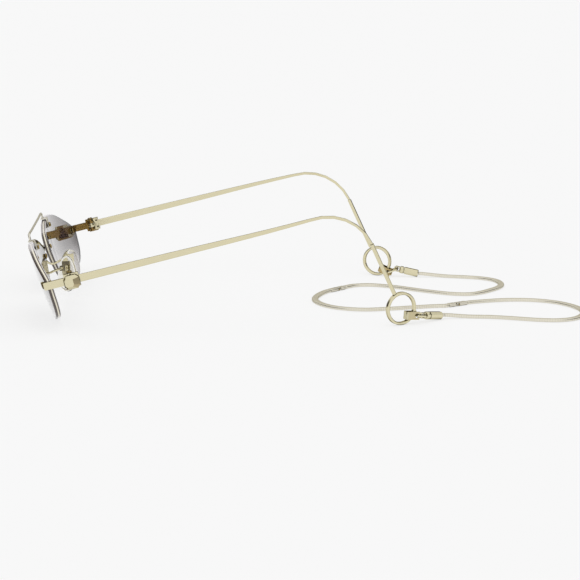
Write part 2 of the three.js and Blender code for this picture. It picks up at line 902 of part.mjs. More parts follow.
const sunglasses = new THREE.Group();
const spectacles = new THREE.Group();
sunglasses.add(spectacles);
piece(spectacles, "bridge", bridgeGeometry(), gold);
piece(spectacles, "top_bar", topBarGeometry(), gold);
const leftSide = new THREE.Group();
const rightSide = new THREE.Group();
rightSide.scale.x = -1;
spectacles.add(leftSide, rightSide);
const left = addSide(leftSide, "left");
addSide(rightSide, "right");

// The pitch at which the lenses and the rings touch the same surface
function lowest(mesh, pitch) {
  const { array } = mesh.geometry.attributes.position;
  let low = Infinity;
  for (let k = 0; k < array.length; k += 3) {
    low = Math.min(low, array[k + 1] * Math.sin(pitch) + array[k + 2] * Math.cos(pitch));
  }
  return low;
}

function restingPitch() {
  let level = 0;
  let steep = Math.PI / 4;
  for (let k = 0; k < 40; k += 1) {
    const pitch = (level + steep) / 2;
    if (lowest(left.ring, pitch) < lowest(left.lens, pitch)) level = pitch;
    else steep = pitch;
  }
  return (level + steep) / 2;
}

spectacles.rotation.x = restingPitch();
sunglasses.updateMatrixWorld(true);
const standing = new THREE.Box3().setFromObject(spectacles, true);
spectacles.position.y = -(standing.min.y + standing.max.y) / 2;
spectacles.position.z = -standing.min.z;
sunglasses.updateMatrixWorld(true);

// Chain hardware of one side. The ring's frame: +X its axis, +Y level and back in its plane
function ringFrame(side) {
  const towards = side === "left" ? 1 : -1;
  const centre = ringCentre.clone();
  const axis = ringAxis.clone();
  centre.x *= towards;
  axis.x *= towards;
  centre.applyMatrix4(spectacles.matrixWorld);
  axis.transformDirection(spectacles.matrixWorld).multiplyScalar(towards);
  const pull = new THREE.Vector3(0, 0, 1).cross(axis).normalize();
  const up = axis.clone().cross(pull);
  return new THREE.Matrix4().makeBasis(axis, pull, up).setPosition(centre);
}

const clipEnd = clipHoleAlong + clipEdge;
const clipHole = new THREE.Vector3(0, clipHoleAlong, 0);

function clipFrame(side) {
  const tilt = new THREE.Matrix4().makeRotationX(-clipTilts[side]);
  const drop = new THREE.Matrix4().makeTranslation(0, 0, -clipOffsets[side]);
  return ringFrame(side).multiply(tilt).multiply(drop);
}

// Clip: a strap folded round the ring, with a hole near its open ends for the link
function clipGeometry() {
  const inner = clipMouth / 2;
  const outer = inner + clipWall;
  const bend = clipCorner + clipWall;
  const fold = clipFoldStart + bend;
  const strap = new THREE.Shape();
  strap.moveTo(outer, clipEnd);
  strap.lineTo(inner, clipEnd);
  strap.lineTo(inner, fold);
  strap.absarc(inner - clipCorner, fold, clipCorner, 0, -Math.PI / 2, true);
  strap.absarc(clipCorner - inner, fold, clipCorner, -Math.PI / 2, -Math.PI, true);
  strap.lineTo(-inner, clipEnd);
  strap.lineTo(-outer, clipEnd);
  strap.lineTo(-outer, fold);
  strap.absarc(bend - outer, fold, bend, Math.PI, 1.5 * Math.PI, false);
  strap.absarc(outer - bend, fold, bend, 1.5 * Math.PI, 2 * Math.PI, false);
  strap.closePath();
  const body = new THREE.ExtrudeGeometry(strap, {
    depth: clipWidth,
    bevelEnabled: false,
    curveSegments: 5,
  }).translate(0, 0, -clipWidth / 2);
  const bore = rod(linkWire / 2 + linkHoleSlack, -outer - overrun, outer + overrun);
  return cut(body, shifted(bore.rotateY(Math.PI / 2), ...clipHole.toArray()));
}

// Link: a rounded loop of wire through the clip's hole and the eye of the end cap
function linkGeometry() {
  const half = linkWire / 2;
  const inside = clipMouth / 2 + clipWall + linkPlay;
  const loop = (grow) => {
    const path = new THREE.Path();
    const x = inside + grow;
    const y0 = half - grow;
    const y1 = linkLength - half + grow;
    const round = half + grow;
    path.moveTo(x - round, y0);
    path.absarc(x - round, y0 + round, round, -Math.PI / 2, 0, false);
    path.absarc(x - round, y1 - round, round, 0, Math.PI / 2, false);
    path.absarc(-x + round, y1 - round, round, Math.PI / 2, Math.PI, false);
    path.absarc(-x + round, y0 + round, round, Math.PI, 1.5 * Math.PI, false);
    path.closePath();
    return path;
  };
  const shape = new THREE.Shape(loop(linkWire).getPoints(4));
  shape.holes.push(new THREE.Path(loop(0).getPoints(2)));
  return new THREE.ExtrudeGeometry(shape, {
    depth: linkWire,
    bevelEnabled: false,
  }).translate(0, 0, -half);
}

function levelFrame(origin, yaw) {
  return new THREE.Matrix4().makeRotationZ(yaw).setPosition(origin);
}

// End cap: a block with a groove, and a flat tang with an eye for the link
function capGeometry() {
  const section = (at, shrink) =>
    chamferedOutline(capWidth - 2 * shrink, capHeight - 2 * shrink, capRound).map(
      (corner) => new THREE.Vector3(corner.x, at, corner.y),
    );
  const grooveEnd = capGrooveStart + capGrooveWidth;
  const body = loft([
    section(0, capGrooveDepth),
    section(capGrooveDepth, 0),
    section(capGrooveStart, 0),
    section(capGrooveStart, capGrooveDepth),
    section(grooveEnd, capGrooveDepth),
    section(grooveEnd, 0),
    section(capLength - capGrooveDepth, 0),
    section(capLength, capGrooveDepth),
  ]).translate(0, tangLength - tangEyeInset, 0);
  const tang = loft(
    [-tangThickness / 2, tangThickness / 2].map((x) =>
      chamferedOutline(2 * tangLength, tangHeight, tangHeight / 4).map(
        (corner) =>
          new THREE.Vector3(x, corner.x + tangLength - tangEyeInset, corner.y),
      ),
    ),
  );
  const eye = rod(linkWire / 2 + linkHoleSlack, -tangThickness, tangThickness);
  return cut(join(body, tang), eye.rotateY(Math.PI / 2));
}

const capEnd = tangLength - tangEyeInset + capLength;
const capYaw = (side) => (side === "left" ? capYaws.left : -capYaws.right);

// The end cap's frame: its origin at the eye, +Y along the cap, whose far end lies on the surface
function capFrame(side) {
  const hole = clipHole.clone().applyMatrix4(clipFrame(side));
  const drop = hole.z - eyeHeights[side];
  const reach = Math.sqrt(linkLength ** 2 - drop ** 2);
  const yaw = capYaw(side);
  const eye = new THREE.Vector3(0, reach, -drop).applyMatrix4(levelFrame(hole, yaw));
  const tilt = Math.asin((eyeHeights[side] - capHeight / 2 - floorGap) / capEnd);
  return levelFrame(eye, yaw).multiply(new THREE.Matrix4().makeRotationX(-tilt));
}

function linkFrame(side) {
  const hole = clipHole.clone().applyMatrix4(clipFrame(side));
  const slope = Math.asin((hole.z - eyeHeights[side]) / linkLength);
  return levelFrame(hole, capYaw(side)).multiply(new THREE.Matrix4().makeRotationX(-slope));
}

for (const side of ["left", "right"]) {
  piece(sunglasses, `${side}_clip`, placed(clipGeometry(), clipFrame(side)), gold);
  piece(sunglasses, `${side}_link`, placed(linkGeometry(), linkFrame(side)), gold);
  piece(sunglasses, `${side}_end_cap`, placed(capGeometry(), capFrame(side)), gold);
}

// Connector: two caps on a pin, one with a tongue and one with a fork
const connectorHeightAt = floorGap + connectorHeight / 2;
const tongueGap = connectorTongue / 2 + runningGap;

function connectorCap(withTongue) {
  const end = connectorLength / 2;
  const section = (at, shrink) =>
    chamferedOutline(
      connectorWidth - 2 * shrink,
      connectorHeight - 2 * shrink,
      connectorRound,
    ).map((corner) => new THREE.Vector3(corner.x, at, corner.y));
  const body = loft([
    section(-connectorOverlap, 0),
    section(end - connectorRound, 0),
    section(end, connectorRound / 2),
  ]);
  const tall = [-connectorHeight, connectorHeight];
  const inside = [-connectorOverlap - overrun, connectorThroat];
  const bore = rod(
    connectorPinRadius + runningGap,
    -connectorWidth,
    connectorWidth,
  ).rotateY(Math.PI / 2);
  const away = withTongue
    ? [
        block([connectorTongue / 2, connectorWidth], inside, tall),
        block([-connectorWidth, -connectorTongue / 2], inside, tall),
      ]
    : [block([-tongueGap, tongueGap], inside, tall)];
  return cut(body, ...away, bore);
}

function connectorPin() {
  const end = connectorWidth / 2 + runningGap;
  return rod(connectorPinRadius, -end, end).rotateY(Math.PI / 2);
}

function connectorFrame(side) {
  const [place, yaw] = connectorPlaces[side];
  return levelFrame(place.clone().setZ(connectorHeightAt), yaw);
}

const halfTurn = new THREE.Matrix4().makeRotationZ(Math.PI);
for (const side of ["right", "left"]) {
  const frame = connectorFrame(side);
  const turned = frame.clone().multiply(halfTurn);
  piece(sunglasses, `${side}_connector_fork`, placed(connectorCap(false), frame), chainGold);
  piece(sunglasses, `${side}_connector_tongue`, placed(connectorCap(true), turned), chainGold);
  piece(sunglasses, `${side}_connector_pin`, placed(connectorPin(), frame), screwMetal);
}

// Chain: flat tubes along the surface, square to what they meet
const chainHeightAt = floorGap + chainThickness / 2;

// The two points that lead a chain level out of a piece along its +Y, past the given end
function lead(frame, end) {
  const out = (distance) => new THREE.Vector3(0, end + distance, 0).applyMatrix4(frame);
  const start = out(seatGap);
  return [start, out(seatGap + chainWidth / 2).setZ(start.z)];
}

function chainGeometry(points) {
  const section = new THREE.Shape(chamferedOutline(chainThickness, chainWidth, chainChamfer));
  const extrudePath = new THREE.CatmullRomCurve3(points, false, "centripetal");
  const steps = Math.round(extrudePath.getLength() / chainStep);
  return new THREE.ExtrudeGeometry(section, { steps, extrudePath, bevelEnabled: false });
}

const onSurface = ([x, y]) => new THREE.Vector3(x, y, chainHeightAt);
const connectorEnd = connectorLength / 2;
const forkEnds = (side) => lead(connectorFrame(side), connectorEnd);
const tongueEnds = (side) => lead(connectorFrame(side).multiply(halfTurn), connectorEnd);
const chainRoutes = {
  right_chain: [
    ...lead(capFrame("right"), capEnd),
    ...rightChainRoute.map(onSurface),
    ...tongueEnds("right").toReversed(),
  ],
  middle_chain: [
    ...forkEnds("right"),
    ...middleChainRoute.map(onSurface),
    ...tongueEnds("left").toReversed(),
  ],
  left_chain: [
    ...forkEnds("left"),
    ...leftChainRoute.map(onSurface),
    ...lead(capFrame("left"), capEnd).toReversed(),
  ],
};
for (const [name, points] of Object.entries(chainRoutes)) {
  piece(sunglasses, name, chainGeometry(points), chainGold);
}

export default sunglasses;
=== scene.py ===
"""Rimless sunglasses with a flat chain: looks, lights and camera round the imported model."""

import json
import math

import bmesh
import bpy
import numpy as np
from mathutils import Matrix, Vector


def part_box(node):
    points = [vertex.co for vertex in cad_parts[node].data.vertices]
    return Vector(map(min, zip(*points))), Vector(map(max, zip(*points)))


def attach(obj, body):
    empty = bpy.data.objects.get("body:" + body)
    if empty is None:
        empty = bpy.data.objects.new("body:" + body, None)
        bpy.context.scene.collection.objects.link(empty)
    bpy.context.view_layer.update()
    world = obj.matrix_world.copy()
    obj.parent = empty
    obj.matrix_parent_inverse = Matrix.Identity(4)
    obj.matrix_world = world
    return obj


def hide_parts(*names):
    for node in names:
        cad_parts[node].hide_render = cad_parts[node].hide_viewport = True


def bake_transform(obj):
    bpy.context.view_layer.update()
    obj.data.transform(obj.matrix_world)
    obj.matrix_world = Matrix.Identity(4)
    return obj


bl_info = {
    "name": "Sunglasses with a chain",
    "version": (1, 0, 0),
    "blender": (4, 5, 0),
    "location": "3D View > Sidebar > Sunglasses",
    "description": "Dresses the packed sunglasses and sets their stage",
    "category": "Object",
}

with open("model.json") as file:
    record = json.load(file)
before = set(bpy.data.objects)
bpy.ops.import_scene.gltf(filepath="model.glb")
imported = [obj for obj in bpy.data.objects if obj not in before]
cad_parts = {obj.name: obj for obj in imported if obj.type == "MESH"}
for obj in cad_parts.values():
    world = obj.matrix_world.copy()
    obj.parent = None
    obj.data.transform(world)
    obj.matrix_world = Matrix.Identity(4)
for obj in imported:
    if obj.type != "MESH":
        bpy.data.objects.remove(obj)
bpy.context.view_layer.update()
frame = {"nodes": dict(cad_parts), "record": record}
NODES = frame["nodes"]
SIDES = ("left", "right")
CHAIN_NODES = ("right_chain", "middle_chain", "left_chain")

# The ways the three stretches of chain lie, in metres, as in the part's source. The left and
# right ones start at the end caps of their temples.
CHAIN_ROUTES = {
    "right_chain": [
        (-0.04927, 0.09050, 0.00156), (-0.04904, 0.09180, 0.00156),
        (-0.04740, 0.10220, 0.00075), (-0.04460, 0.11180, 0.00075),
        (-0.04200, 0.11800, 0.00075), (-0.03650, 0.12330, 0.00075),
        (-0.02770, 0.12480, 0.00075), (-0.01980, 0.12240, 0.00075),
        (-0.01370, 0.11800, 0.00075), (-0.00820, 0.11300, 0.00075),
        (-0.00500, 0.10760, 0.00075), (-0.00610, 0.09990, 0.00075),
        (-0.01390, 0.08760, 0.00075), (-0.02260, 0.07620, 0.00075),
        (-0.02670, 0.06620, 0.00075), (-0.02540, 0.05920, 0.00075),
        (-0.02217, 0.05588, 0.00080), (-0.02119, 0.05496, 0.00080),
    ],
    "middle_chain": [
        (-0.01361, 0.04784, 0.00080), (-0.01263, 0.04692, 0.00080),
        (-0.00560, 0.04310, 0.00075), (0.00410, 0.04060, 0.00075),
        (0.01050, 0.04110, 0.00075), (0.01760, 0.04390, 0.00075),
        (0.02370, 0.04960, 0.00075), (0.02710, 0.05900, 0.00075),
        (0.02560, 0.06980, 0.00075), (0.02260, 0.08110, 0.00075),
        (0.02040, 0.08990, 0.00075), (0.02011, 0.09407, 0.00080),
        (0.01939, 0.09521, 0.00080),
    ],
    "left_chain": [
        (0.04344, 0.08953, 0.00158), (0.04269, 0.09064, 0.00158),
        (0.04200, 0.10130, 0.00075), (0.04300, 0.11000, 0.00075),
        (0.04580, 0.11900, 0.00075), (0.04910, 0.12810, 0.00075),
        (0.05010, 0.13580, 0.00075), (0.04780, 0.14220, 0.00075),
        (0.04250, 0.14680, 0.00075), (0.03560, 0.14930, 0.00075),
        (0.02880, 0.14950, 0.00075), (0.02100, 0.14700, 0.00075),
        (0.01410, 0.14220, 0.00075), (0.00960, 0.13520, 0.00075),
        (0.00780, 0.12710, 0.00075), (0.00830, 0.11940, 0.00075),
        (0.01050, 0.11140, 0.00075), (0.01309, 0.10513, 0.00080),
        (0.01381, 0.10399, 0.00080),
    ],
}
# The temple that carries the outer end of a stretch, and the places between which it bends
CHAIN_BENDS = {
    "right_chain": ("right_temple_assembly", (-0.049, 0.11, 0), (-0.0272, 0.11, 0)),
    "left_chain": ("left_temple_assembly", (0.044, 0.092, 0), (0.0229, 0.1131, 0)),
}

CAMERA_PLACE = Vector((0.7971, -0.00499, 0.15907))
CAMERA_LOOK = Vector((-0.98063, 0.04325, -0.19102))
CAMERA_UP = Vector((-0.19103, 0.00391, 0.98158))
CAMERA_LENS = 118.5
CAMERA_SENSOR = 36
CAMERA_CLIP = (0.01, 20)

LAMP_PLACE = Vector((0.35, -0.25, 1.0))
LAMP_SPREAD = math.radians(70)
FLOOR_DROP = 0.00005

# Corners of the solids that are nearer than this are one corner
SAME_CORNER = 1e-6

# Roughness of a finish, from its smoothest to its roughest spots, and how fine these are
POLISHED = ((0.1, 0.18), 250.0)
TURNED = ((0.16, 0.28), 500.0)
SATIN = ((0.28, 0.42), 400.0)
# How far from a corner or a slot the painted shade reaches
PAINTED_SHADE_REACH = 0.0009
CONNECTOR_PAINTED_SHADE_REACH = 0.0006

LENS_IOR = 1.6
LENS_EDGE_IOR = 1.7
PAD_IOR = 1.43


def linear(*shades):
    """A colour given as it looks on a screen, 0 to 255, as the shader wants it."""
    return tuple((s / 255 / 12.92) if s <= 10 else ((s / 255 + 0.055) / 1.055) ** 2.4
                 for s in shades) + (1.0,)


class ChainSizes(bpy.types.PropertyGroup):
    width: bpy.props.FloatProperty(
        name="Width", description="Width of the flat chain",
        default=0.0027, unit="LENGTH", precision=5)
    thickness: bpy.props.FloatProperty(
        name="Thickness", description="Thickness of the flat chain",
        default=0.0013, unit="LENGTH", precision=5)
    scale_length: bpy.props.FloatProperty(
        name="Scale length", description="Length of one scale of the chain",
        default=0.001, unit="LENGTH", precision=5)
    colour: bpy.props.FloatVectorProperty(
        name="Colour", description="Satin pale gold of the chain", subtype="COLOR",
        size=4, min=0, max=1, default=linear(240, 235, 218))


class LensLook(bpy.types.PropertyGroup):
    upper_tint: bpy.props.FloatVectorProperty(
        name="Upper tint", description="Colour of the lens at its top", subtype="COLOR",
        size=4, min=0, max=1, default=linear(72, 60, 59))
    lower_tint: bpy.props.FloatVectorProperty(
        name="Lower tint", description="Colour of the lens at its bottom", subtype="COLOR",
        size=4, min=0, max=1, default=linear(216, 212, 214))
    fade_height: bpy.props.FloatProperty(
        name="Fade height", description="Share of the lens height below which the tint fades",
        default=0.52, min=0.1, max=1, subtype="FACTOR")
    # Painted shade: the dark bands along the lens edge
    edge_painted_shade: bpy.props.FloatVectorProperty(
        name="Edge colour", description="Colour seen in the depth of the lens edge",
        subtype="COLOR", size=4, min=0, max=1, default=linear(62, 47, 36))
    # Painted highlight: the light line along the lens edge
    edge_painted_highlight: bpy.props.FloatVectorProperty(
        name="Edge light", description="Colour of the light line along the lens edge",
        subtype="COLOR", size=4, min=0, max=1, default=linear(240, 234, 214))


class MetalLook(bpy.types.PropertyGroup):
    gold: bpy.props.FloatVectorProperty(
        name="Gold", description="Polished pale gold of the frame", subtype="COLOR",
        size=4, min=0, max=1, default=linear(226, 218, 184))
    wires: bpy.props.FloatVectorProperty(
        name="Top wire", description="Paler plating of the top bar", subtype="COLOR",
        size=4, min=0, max=1, default=linear(226, 222, 208))
    screws: bpy.props.FloatVectorProperty(
        name="Screws", description="Gold of the screws, nuts and pins", subtype="COLOR",
        size=4, min=0, max=1, default=linear(178, 158, 108))
    # Painted shade: the darker gold of the inner sides of the endpieces and covers
    inner_shade_gold: bpy.props.FloatVectorProperty(
        name="Inner gold", description="Deeper gold on the inside of the endpieces and covers",
        subtype="COLOR", size=4, min=0, max=1, default=linear(140, 114, 66))
    # Painted shade: the darker gold of the inner sides of the clips
    clip_inside_shade: bpy.props.FloatVectorProperty(
        name="Clip inside", description="Gold on the inside of the clips",
        subtype="COLOR", size=4, min=0, max=1, default=linear(184, 164, 116))
    edge_tint: bpy.props.FloatVectorProperty(
        name="Edge tint", description="Colour that the metal takes where it is seen edge on",
        subtype="COLOR", size=4, min=0, max=1, default=linear(96, 84, 58))
    edge_round: bpy.props.FloatProperty(
        name="Edge round", description="Width of the rounded edges of the metal",
        default=0.00007, unit="LENGTH", precision=6)


class PadSizes(bpy.types.PropertyGroup):
    narrowing: bpy.props.FloatProperty(
        name="Narrowing", description="How much narrower the pad is at its top",
        default=0.14, min=0, max=1, subtype="FACTOR")
    flatness: bpy.props.FloatProperty(
        name="Flatness", description="Power that flattens the faces of the pad",
        default=0.6, min=0.2, max=1, subtype="FACTOR")
    colour: bpy.props.FloatVectorProperty(
        name="Colour", description="Clear plastic of the nose pads", subtype="COLOR",
        size=4, min=0, max=1, default=linear(249, 248, 244))


class StageLook(bpy.types.PropertyGroup):
    background: bpy.props.FloatVectorProperty(
        name="Background", description="Colour of the floor and what is behind it",
        subtype="COLOR", size=4, min=0, max=1, default=linear(249, 249, 249))
    floor_size: bpy.props.FloatProperty(
        name="Floor size", description="Length of half a side of the floor",
        default=8.0, unit="LENGTH")
    sky_light: bpy.props.FloatProperty(
        name="Sky light", description="Even light from all round", default=0.62, min=0)
    lamp_light: bpy.props.FloatProperty(
        name="Lamp light", description="Strength of the wide soft lamp above", default=1.2, min=0)
    shadow_share: bpy.props.FloatProperty(
        name="Shadow", description="How much of the floor's own shading shows",
        default=0.25, min=0, max=1, subtype="FACTOR")


def new_material(name):
    """A material with its nodes, its shader and its output."""
    material = bpy.data.materials.new(name)
    material.use_nodes = True
    nodes = material.node_tree.nodes
    return material, nodes, material.node_tree.links, nodes["Principled BSDF"]


def add_noise(nodes, links, scale, detail=3.0):
    """Noise on the object's own coordinates, as a number from 0 to 1."""
    place = nodes.new("ShaderNodeTexCoord")
    noise = nodes.new("ShaderNodeTexNoise")
    noise.inputs["Scale"].default_value = scale
    noise.inputs["Detail"].default_value = detail
    links.new(place.outputs["Object"], noise.inputs["Vector"])
    return noise.outputs["Fac"]


def add_range(nodes, links, value, low, high):
    """A number from 0 to 1 spread between two others."""
    spread = nodes.new("ShaderNodeMapRange")
    spread.inputs["To Min"].default_value = low
    spread.inputs["To Max"].default_value = high
    links.new(value, spread.inputs["Value"])
    return spread.outputs["Result"]


def add_rise(nodes, links, value, clear, full, most=1.0):
    """0 where a value is at the first number, rising to the most where it is at the second."""
    spread = nodes.new("ShaderNodeMapRange")
    spread.inputs["From Min"].default_value = clear
    spread.inputs["From Max"].default_value = full
    spread.inputs["To Max"].default_value = most
    links.new(value, spread.inputs["Value"])
    return spread.outputs["Result"]


def add_math(nodes, links, operation, *values, clamp=False):
    """The result of an operation on values that are linked or plain numbers."""
    node = nodes.new("ShaderNodeMath")
    node.operation = operation
    node.use_clamp = clamp
    for socket, value in zip(node.inputs, values):
        if isinstance(value, bpy.types.NodeSocket):
            links.new(value, socket)
        else:
            socket.default_value = value
    return node.outputs[0]


def add_axes(nodes, links, output):
    """The X, Y and Z of one of the texture coordinates."""
    place = nodes.new("ShaderNodeTexCoord")
    split = nodes.new("ShaderNodeSeparateXYZ")
    links.new(place.outputs[output], split.inputs["Vector"])
    return split.outputs


def add_attribute(nodes, name):
    """A number that the mesh holds for each of its corners."""
    attribute = nodes.new("ShaderNodeAttribute")
    attribute.attribute_name = name
    return attribute.outputs["Fac"]


def add_bump(nodes, links, height, distance, strength):
    """Normals for a surface that rises with a height from 0 to 1."""
    bump = nodes.new("ShaderNodeBump")
    bump.inputs["Strength"].default_value = strength
    bump.inputs["Distance"].default_value = distance
    links.new(height, bump.inputs["Height"])
    return bump.outputs["Normal"]


def add_blend(nodes, links, share, first, second):
    """A colour between two others by a share from 0 to 1."""
    ramp = nodes.new("ShaderNodeValToRGB")
    ramp.color_ramp.elements[0].color = first
    ramp.color_ramp.elements[1].color = second
    links.new(share, ramp.inputs["Fac"])
    return ramp.outputs["Color"]


def shade(colour, share):
    """A darker shade of a colour."""
    return tuple(c * share for c in colour[:3]) + (1.0,)


def add_shaded_inner_side(nodes, links):
    """1 on faces towards the middle of the sunglasses, about half on those to the back: where the
    metal gets painted shade.
    """
    places, normals = (add_axes(nodes, links, output) for output in ("Object", "Normal"))
    side = add_math(nodes, links, "SIGN", places["X"])
    inward = add_math(nodes, links, "MULTIPLY", side, normals["X"])
    return add_math(nodes, links, "MAXIMUM", add_rise(nodes, links, inward, -0.3, -0.7),
                    add_rise(nodes, links, normals["Y"], 0.3, 0.5, 0.55))


def add_mix(nodes, links, share, first, second):
    """A colour between two others, each linked or plain."""
    mix = nodes.new("ShaderNodeMix")
    mix.data_type = "RGBA"
    links.new(share, mix.inputs["Factor"])
    for socket, colour in (("A", first), ("B", second)):
        if isinstance(colour, bpy.types.NodeSocket):
            links.new(colour, mix.inputs[socket])
        else:
            mix.inputs[socket].default_value = colour
    return mix.outputs["Result"]


def mix_shaders(nodes, links, share, first, second, output):
    """Sends one shader or the other to the output, by a share from 0 to 1."""
    mix = nodes.new("ShaderNodeMixShader")
    for socket, source in enumerate((share, first.outputs[0], second.outputs[0])):
        links.new(source, mix.inputs[socket])
    links.new(mix.outputs[0], output.inputs["Surface"])


def add_crevice_shade(nodes, links, reach):
    """1 in holes, slots and corners narrower than the reach, where the metal gets painted shade."""
    shelter = nodes.new("ShaderNodeAmbientOcclusion")
    shelter.samples = 8
    shelter.inputs["Distance"].default_value = reach
    return add_rise(nodes, links, shelter.outputs["AO"], 0.8, 0.35)


def plated_metal(name, colour, finish, edge_tint, inner=None, crevice_shade_reach=PAINTED_SHADE_REACH):
    """Plated metal with the faint unevenness that polishing leaves, painted shade in its crevices
    and, where an inner colour is given, painted shade on its inner sides.
    """
    roughness, fineness = finish
    polish_depth = 0.000003
    material, nodes, links, shader = new_material(name)
    uneven = add_noise(nodes, links, fineness)
    shader.inputs["Metallic"].default_value = 1.0
    shader.inputs["Specular Tint"].default_value = edge_tint
    tone = add_blend(nodes, links, uneven, shade(colour, 0.94), colour)
    # Painted shade on the inner and back sides, in the inner colour
    if inner:
        tone = add_mix(nodes, links, add_shaded_inner_side(nodes, links), tone, inner)
    # Painted shade: darker gold in crevices and corners, from ambient occlusion
    if crevice_shade_reach:
        tone = add_mix(nodes, links, add_crevice_shade(nodes, links, crevice_shade_reach), tone,
                       shade(edge_tint, 0.3))
    links.new(tone, shader.inputs["Base Color"])
    links.new(add_range(nodes, links, uneven, *roughness), shader.inputs["Roughness"])
    links.new(add_bump(nodes, links, uneven, polish_depth, 0.5), shader.inputs["Normal"])
    return material


def chain_metal(look):
    """Satin metal with fine pointed scales across the chain, with painted shade in the grooves
    between the scales.
    """
    material, nodes, links, shader = new_material("chain_satin")
    scale_point, scale_depth = 0.35, 0.00003
    point = add_math(nodes, links, "MULTIPLY_ADD", add_attribute(nodes, "across"), scale_point,
                     add_attribute(nodes, "along"))
    scales = add_math(nodes, links, "PINGPONG", point, 0.5)
    height = add_range(nodes, links, scales, 0, 2)
    shader.inputs["Metallic"].default_value = 1.0
    shader.inputs["Specular Tint"].default_value = shade(look.colour, 0.6)
    # Painted shade: darker in the grooves between the scales, following their height
    links.new(add_blend(nodes, links, height, shade(look.colour, 0.82), look.colour),
              shader.inputs["Base Color"])
    fine = add_noise(nodes, links, 6000.0, 2.0)
    links.new(add_range(nodes, links, fine, *SATIN[0]), shader.inputs["Roughness"])
    links.new(add_bump(nodes, links, height, scale_depth, 0.5), shader.inputs["Normal"])
    return material


def lens_glass(look, low, high):
    """Tinted glass, darker towards its top."""
    material, nodes, links, shader = new_material("lens_glass")
    up = add_rise(nodes, links, add_axes(nodes, links, "Object")["Z"], low, high)
    fade = nodes.new("ShaderNodeValToRGB")
    fade.color_ramp.interpolation = "EASE"
    for stop, place, colour in zip(fade.color_ramp.elements, (0.05, look.fade_height),
                                   (look.lower_tint, look.upper_tint)):
        stop.position, stop.color = place, colour
    links.new(up, fade.inputs["Fac"])
    links.new(fade.outputs["Color"], shader.inputs["Base Color"])
    smear = add_noise(nodes, links, 60.0)
    links.new(add_range(nodes, links, smear, 0.0, 0.035), shader.inputs["Roughness"])
    shader.inputs["IOR"].default_value = LENS_IOR
    shader.inputs["Transmission Weight"].default_value = 1.0
    shader.inputs["Coat Weight"].default_value = 1.0
    shader.inputs["Coat IOR"].default_value = LENS_IOR
    shader.inputs["Coat Roughness"].default_value = 0.01
    return material


def lens_edge(look):
    """The polished edge of a lens: a painted highlight line between two painted dark bands."""
    material, nodes, links, shader = new_material("lens_edge")
    ramp = nodes.new("ShaderNodeValToRGB")
    bands = ramp.color_ramp
    bands.elements[0].color = look.edge_painted_shade
    bands.elements[1].color = look.edge_painted_shade
    for place, colour in ((0.34, look.edge_painted_shade), (0.42, look.edge_painted_highlight),
                          (0.6, look.edge_painted_highlight), (0.68, look.edge_painted_shade)):
        bands.elements.new(place).color = colour
    links.new(add_attribute(nodes, "edge_depth"), ramp.inputs["Fac"])
    # The painted bands show on the sides of the edge, and not from inside the glass
    upright = add_math(nodes, links, "ABSOLUTE", add_axes(nodes, links, "Normal")["X"])
    rays = nodes.new("ShaderNodeLightPath")
    painted_band_share = add_math(nodes, links, "SUBTRACT", add_rise(nodes, links, upright, 0.1, 0.3),
                    rays.outputs["Is Transmission Ray"], clamp=True)
    links.new(add_mix(nodes, links, painted_band_share, look.lower_tint, ramp.outputs["Color"]),
              shader.inputs["Base Color"])
    polish = add_noise(nodes, links, 900.0)
    links.new(add_range(nodes, links, polish, 0.05, 0.16), shader.inputs["Roughness"])
    shader.inputs["IOR"].default_value = LENS_EDGE_IOR
    return material


def pad_plastic(look):
    """Clear soft plastic with a faint frosting from wear."""
    material, nodes, links, shader = new_material("pad_plastic")
    wear = add_noise(nodes, links, 400.0)
    links.new(add_range(nodes, links, wear, 0.02, 0.12), shader.inputs["Roughness"])
    links.new(add_blend(nodes, links, wear, look.colour, shade(look.colour, 0.94)),
              shader.inputs["Base Color"])
    shader.inputs["IOR"].default_value = PAD_IOR
    shader.inputs["Transmission Weight"].default_value = 1.0
    return material


def finish_piece(mesh_name, bm, *materials):
    """A new object from a bmesh, smooth, with its materials."""
    mesh = bpy.data.meshes.new(mesh_name)
    bm.to_mesh(mesh)
    bm.free()
    for material in materials:
        mesh.materials.append(material)
    mesh.shade_smooth()
    piece = bpy.data.objects.new(mesh_name, mesh)
    bpy.context.scene.collection.objects.link(piece)
    return piece


def smooth_route(corners, step):
    """Points a step apart on the smooth curve through the corners, as the part's source has it."""
    steps_between = 24
    corners = [np.array(c) for c in corners]
    points = [2 * corners[0] - corners[1], *corners, 2 * corners[-1] - corners[-2]]
    dense = []
    for a, b, c, d in zip(points, points[1:], points[2:], points[3:]):
        k0, k1, k2, k3 = np.cumsum([0.0] + [np.linalg.norm(q - p) ** 0.5
                                            for p, q in ((a, b), (b, c), (c, d))])
        for t in np.linspace(k1, k2, steps_between, endpoint=False):
            level = [a, b, c, d]
            for spans in (((k0, k1), (k1, k2), (k2, k3)), ((k0, k2), (k1, k3)), ((k1, k2),)):
                level = [((hi - t) * p + (t - lo) * q) / (hi - lo)
                         for (lo, hi), p, q in zip(spans, level, level[1:])]
            dense.append(level[0])
    dense = np.array([*dense, corners[-1]])
    lengths = np.concatenate([[0], np.cumsum(np.linalg.norm(np.diff(dense, axis=0), axis=1))])
    count = round(lengths[-1] / step)
    places = np.linspace(0, lengths[-1], count + 1)
    return np.stack([np.interp(places, lengths, dense[:, k]) for k in range(3)], axis=1)


def flat_frames(path):
    """For each point of a path, the place and turn of the chain's flat section."""
    ways = np.gradient(path, axis=0)
    frames = []
    for point, way in zip(path, ways):
        ahead = Vector(way).normalized()
        across = ahead.cross(Vector((0, 0, 1))).normalized()
        up = across.cross(ahead)
        turn = Matrix((across, up, ahead)).transposed().to_4x4()
        frames.append(Matrix.Translation(Vector(point)) @ turn)
    return frames


